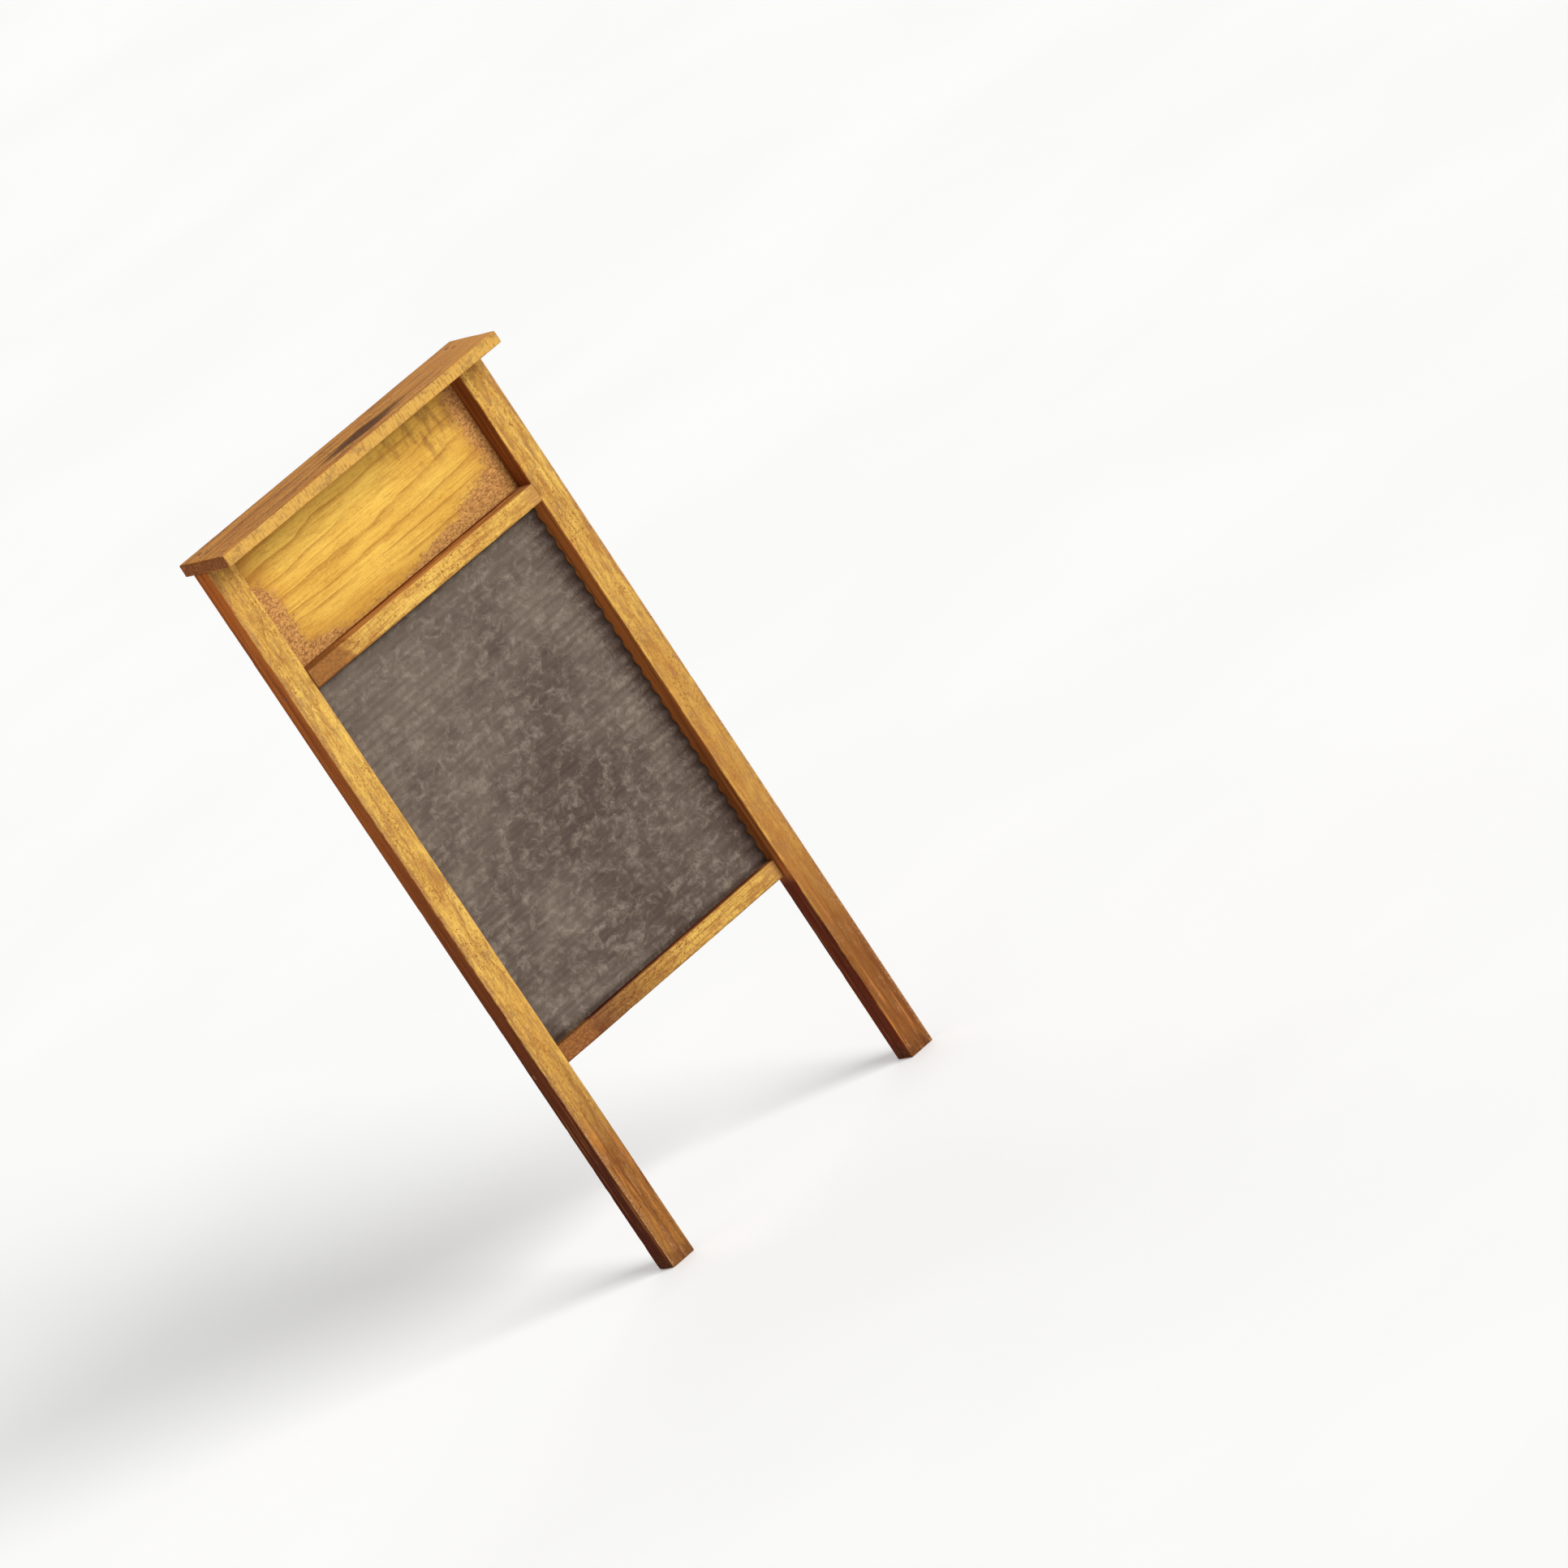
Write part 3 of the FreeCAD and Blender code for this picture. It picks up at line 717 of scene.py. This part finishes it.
def zinc_look():
    """Dull, stained zinc: soft pale smudges on warm dark grey, darker at its right edge."""
    look = Look("zinc", 0, 71)
    flat = (1, 300)                         # the stain ignores the height of the ridges
    smudge = look.lumps(10, 9, 7, 0.68, 1, 0.5, flat)
    feather = look.lumps(3.8, 3.6, 7, 0.74, 2, 0.9, flat)
    patch = look.lumps(60, 48, 3, 0.55, 3, 0.0, flat)
    used = look.times(look.near(0, 0.022, 78), look.near(2, SHEET_LOW.z + 0.085, 190))
    colour = look.mix(look.ramp(patch, 0.34, 0.66), (80, 67, 58), (102, 89, 78))
    colour = look.mix(look.times(look.ramp(used, 0.0, 0.7), 0.62), colour, (64, 50, 43))
    low_right = look.times(look.near(0, INNER, 110), look.near(2, BOTTOM_HIGH.z, 150))
    colour = look.mix(look.ramp(low_right, 0.0, 0.7, 0.0, 0.4), colour, (66, 51, 44))
    cloud = look.times(look.ramp(smudge, 0.42, 0.68), look.ramp(feather, 0.38, 0.62, 0.2, 1.0))
    colour = look.mix(look.times(cloud, 0.66), colour, (152, 139, 124))
    colour = look.mix(look.ramp(feather, 0.5, 0.66, 0.0, 0.38), colour, (60, 49, 43))
    # Painted light and shade that work against the ridges' own shading: down-facing flanks are
    # lightened and up-facing flanks darkened.
    under = look.ramp(look.math("MULTIPLY", look.normal[2], -1.0), 0.1, 0.62)
    colour = look.mix(look.times(under, 0.12), colour, (150, 134, 118))
    above = look.ramp(look.normal[2], 0.15, 0.5)
    colour = look.mix(look.times(above, 0.06), colour, (52, 42, 36))
    specks = look.lumps(2.2, 2.2, 4, 0.7, 4, 0.0, flat)
    corner = look.times(look.near(0, -INNER, 46), look.near(2, BOTTOM_HIGH.z, 30), 1.5)
    rims = look.largest(look.near(0, INNER, 32), look.times(look.near(0, -INNER, 9), 0.7), corner,
                        look.times(look.near(2, MID_LOW.z, 9), 0.7),
                        look.times(look.near(2, BOTTOM_HIGH.z, 9), 0.7))
    stain = look.ramp(look.plus(rims, specks), 0.85, 1.45)
    colour = look.mix(look.times(stain, 0.8), colour, (56, 40, 34))
    roughness = look.ramp(smudge, 0.3, 0.7, 0.64, 0.8)
    height = look.plus(look.times(smudge, 0.6), look.times(feather, 0.35))
    return look.finish(colour, roughness, height, 0.12, 0.2, 0.1)


def iron_look():
    """Dull brown rust."""
    look = Look("nail_iron", 0, 81)
    rust = look.lumps(1.6, 1.6, 5, 0.65, 1)
    colour = look.mix(look.ramp(rust, 0.4, 0.62), (112, 70, 42), (150, 94, 54))
    colour = look.mix(look.ramp(look.lumps(0.6, 0.6, 3, 0.6, 2), 0.55, 0.75), colour, (78, 52, 38))
    return look.finish(colour, look.ramp(rust, 0.35, 0.65, 0.5, 0.85), rust, 0.1, 0.4, 0.3)


# ---- pieces ----

cap_nails = nails_of("cap_nails", 2)
rail_nails = nails_of("rail_nails", 0)
panel_nails = nails_of("soap_panel_nails", 1)
back_nails = nails_of("back_board_nails", 1)

# each rail's name, lowest and highest corners, and whether its rebate is in its upper edge
RAILS = (("mid_rail", MID_LOW, MID_HIGH, False), ("bottom_rail", BOTTOM_LOW, BOTTOM_HIGH, True))


def tenon_ranges(low, high):
    """The front, back, lower and upper limits of a rail's tenons."""
    middle = (low.z + high.z) / 2
    return (low.y + TENON_CHEEK, high.y - TENON_CHEEK,
            middle - TENON_HEIGHT / 2, middle + TENON_HEIGHT / 2)


def stile_piece(name, side, look, seed):
    """A stile with its two mortises sunk into the inner face."""
    sockets = [tenon_ranges(low, high) for _, low, high, _ in RAILS]
    depth = MID_HIGH.x - INNER
    near, far = sorted((side * (INNER - MM), side * (INNER + MM)))

    def mortised(points):
        for front, back, bottom, top in sockets:
            points = pushed(points, (near, front, bottom), (far, back, top), (side * depth, 0, 0))
        return points

    steps_y = sorted({y for socket in sockets for y in socket[:2]})
    steps_z = sorted({z for socket in sockets for z in socket[2:]})
    return plank(name, look, 2, seed, edge=0.9, wear=0.35, nick=0.6, relief=0.09,
                 extra=((), steps_y, steps_z), spacing=(2.5, 1.2), nails=rail_nails,
                 reshape=mortised)


def rail_piece(name, low, high, rebate_on_top, look, seed):
    """A rail with a stub tenon at each end and a rebate behind for the sheet's edge."""
    front, back, bottom, top = tenon_ranges(low, high)
    step = high.z - REBATE_HEIGHT if rebate_on_top else low.z + REBATE_HEIGHT
    rebate = (step, high.z + MM) if rebate_on_top else (low.z - MM, step)

    def shaped(points):
        points = pushed(points, (-INNER, high.y - MM, rebate[0]), (INNER, high.y + MM, rebate[1]),
                        (0, -REBATE_DEPTH, 0))
        tenon = np.abs(points[:, 0]) > INNER
        points[tenon, 1] = np.clip(points[tenon, 1], front, back)
        points[tenon, 2] = np.clip(points[tenon, 2], bottom, top)
        return points

    return plank(name, look, 0, seed, edge=0.9, wear=0.4, nick=0.7, relief=0.08,
                 extra=((-INNER, INNER), (), (step,)), spacing=(2.5, 1.1), reshape=shaped)


stile_piece("left_stile", -1, stile_look("left_stile_wood", -1, 11), 3)
stile_piece("right_stile", 1, stile_look("right_stile_wood", 1, 16), 13)
for number, (name, low, high, on_top) in enumerate(RAILS):
    rail_piece(name, low, high, on_top, rail_look(name + "_wood", 51 + number, low),
               23 + number * 10)
plank("cap_board", cap_look(), 0, 43, edge=1.3, wear=0.4, nick=1.0, relief=0.1,
      spacing=(2.5, 1.3), nails=cap_nails)
plank("soap_panel", panel_look(), 0, 53, edge=0.6, wear=0.3, nick=0.5,
      relief=0.09, nails=panel_nails)
for number, name in enumerate(("back_board_lower", "back_board_middle", "back_board_upper")):
    plank(name, back_look(name, number + 2), 0, 63 + number * 10, edge=0.6, wear=0.4,
          nick=0.9, relief=0.12, saw=0.14, spacing=(2.0, 1.6), nails=back_nails)
sheet_piece(zinc_look())
iron = iron_look()
for node, axis in (("cap_nails", 2), ("rail_nails", 0), ("soap_panel_nails", 1),
                   ("back_board_nails", 1)):
    nail_group(node, axis, iron, 91)


# ---- stage, light and camera ----

FLOOR_HALF = 30.0
FLOOR_GLOW = 0.2
WORLD_FILL = 0.3

LENS = 352
SENSOR_WIDTH = 36
CAMERA_AIM = (0.1506, STILE_FRONT, 0.2141)
CAMERA_DISTANCE = 10.84
CAMERA_AZIMUTH, CAMERA_ELEVATION, CAMERA_ROLL = -28.75, 13.48, -33.55

# name, direction towards the light, width in degrees and strength
LIGHTS = (("key", (0.18, -0.9, 0.42), 30, 3.2), ("rear", (0.45, 0.8, 0.5), 60, 0.7))


def make_floor():
    """A wide, plain, pale floor at the level of the feet."""
    half = FLOOR_HALF
    mesh = bpy.data.meshes.new("floor")
    mesh.from_pydata([(-half, -half, 0), (half, -half, 0), (half, half, 0), (-half, half, 0)],
                     [], [(0, 1, 2, 3)])
    floor = bpy.data.objects.new("floor", mesh)
    bpy.context.scene.collection.objects.link(floor)
    look = Look("floor_paper")
    cloud = look.ramp(look.lumps(400, 400, 2), 0.3, 0.7)
    shade = look.mix(cloud, (244, 244, 243), (247, 247, 246))
    surface = look.add("ShaderNodeBsdfPrincipled", None, {
        "Base Color": shade, "Roughness": 0.9, "Specular IOR Level": 0.1,
        "Emission Color": (1, 1, 1, 1), "Emission Strength": FLOOR_GLOW})
    output = look.add("ShaderNodeOutputMaterial")
    look.tree.links.new(surface.outputs[0], output.inputs[0])
    mesh.materials.append(look.material)


def make_light(name, direction, width, strength):
    """A large, far soft box; width is how wide it looks from the board, in degrees."""
    light = bpy.data.lights.new(name, "SUN")
    light.angle = math.radians(width)
    light.energy = strength
    lamp = bpy.data.objects.new(name, light)
    bpy.context.scene.collection.objects.link(lamp)
    lamp.rotation_mode = "QUATERNION"
    lamp.rotation_quaternion = Vector(direction).to_track_quat("Z", "Y")


def make_world():
    """A pale studio all round, plain white where it is seen directly."""
    world = bpy.data.worlds.new("studio")
    bpy.context.scene.world = world
    world.use_nodes = True
    tree = world.node_tree
    tree.nodes.clear()
    path = tree.nodes.new("ShaderNodeLightPath")
    strength = tree.nodes.new("ShaderNodeMapRange")
    to_min, to_max = strength.inputs[3], strength.inputs[4]
    to_min.default_value = WORLD_FILL
    to_max.default_value = 1.0
    tree.links.new(path.outputs["Is Camera Ray"], strength.inputs[0])
    background = tree.nodes.new("ShaderNodeBackground")
    background.inputs[0].default_value = (1.0, 1.0, 1.0, 1.0)
    tree.links.new(strength.outputs[0], background.inputs[1])
    output = tree.nodes.new("ShaderNodeOutputWorld")
    tree.links.new(background.outputs[0], output.inputs[0])


def make_camera():
    """The camera, from the front left and a little above, rolled so that the board leans."""
    azimuth, elevation, roll = (math.radians(angle) for angle in (
        CAMERA_AZIMUTH, CAMERA_ELEVATION, CAMERA_ROLL))
    back = Vector((math.sin(azimuth) * math.cos(elevation),
                   -math.cos(azimuth) * math.cos(elevation), math.sin(elevation)))
    level = (-back).cross(Vector((0, 0, 1))).normalized()
    upright = level.cross(-back)
    right = math.cos(roll) * level + math.sin(roll) * upright
    up = -math.sin(roll) * level + math.cos(roll) * upright
    data = bpy.data.cameras.new("camera")
    data.lens = LENS
    data.sensor_width = SENSOR_WIDTH
    data.clip_start = 0.1
    data.clip_end = 100
    camera = bpy.data.objects.new("camera", data)
    bpy.context.scene.collection.objects.link(camera)
    turn = Matrix((right, up, back)).transposed().to_4x4()
    place = Vector(CAMERA_AIM) + back * CAMERA_DISTANCE
    camera.matrix_world = Matrix.Translation(place) @ turn
    bpy.context.scene.camera = camera


make_floor()
make_world()
for light in LIGHTS:
    make_light(*light)
make_camera()
bpy.context.scene.view_settings.view_transform = "Standard"
